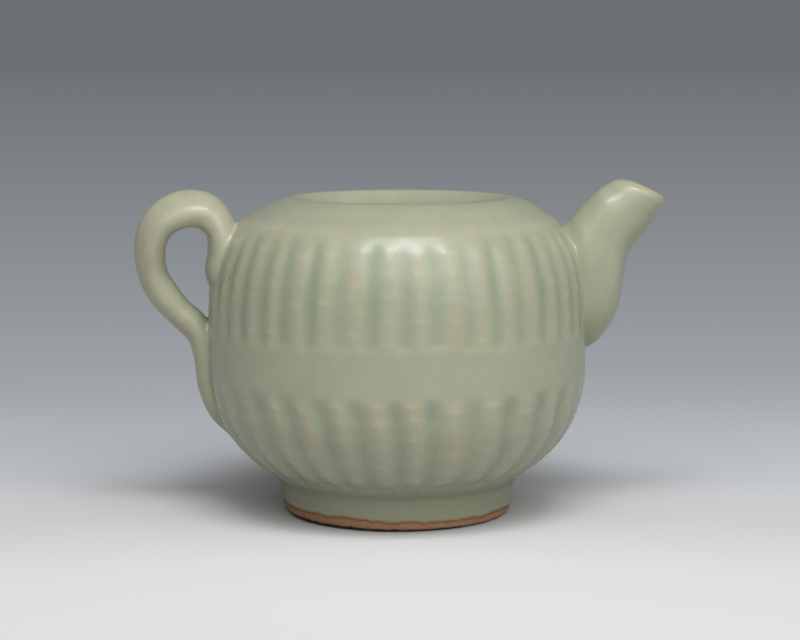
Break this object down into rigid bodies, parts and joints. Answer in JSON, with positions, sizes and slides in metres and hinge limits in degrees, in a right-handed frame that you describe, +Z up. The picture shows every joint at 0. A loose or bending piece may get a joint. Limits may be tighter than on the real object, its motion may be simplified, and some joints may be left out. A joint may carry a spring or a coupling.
{
  "type": "celadon teapot",
  "caption": "Squat ribbed celadon ewer for tea with a foot ring, a sunken open mouth, a short upturned spout and a loop handle.",
  "frame": {"origin": "on the body's axis, on the plane that the foot ring stands on", "axes": "+Z up, +X towards the spout, -X towards the handle, -Y towards the viewer of the picture"},
  "size_m": [0.14, 0.1, 0.0882],
  "materials": {
    "celadon_glaze": "satin grey-green celadon glaze over grey stoneware, thin and beige on the ribs, pooled in the grooves",
    "bare_stoneware": "matt unglazed stoneware fired orange-brown"
  },
  "bodies": {
    "root": {"lower_bowl": "celadon_glaze", "upper_wall": "celadon_glaze", "shoulder": "celadon_glaze", "lid_seat_ring": "bare_stoneware", "foot_ring": "celadon_glaze", "spout_front_half": "celadon_glaze", "spout_back_half": "celadon_glaze", "handle": "celadon_glaze"}
  },
  "joints": []
}
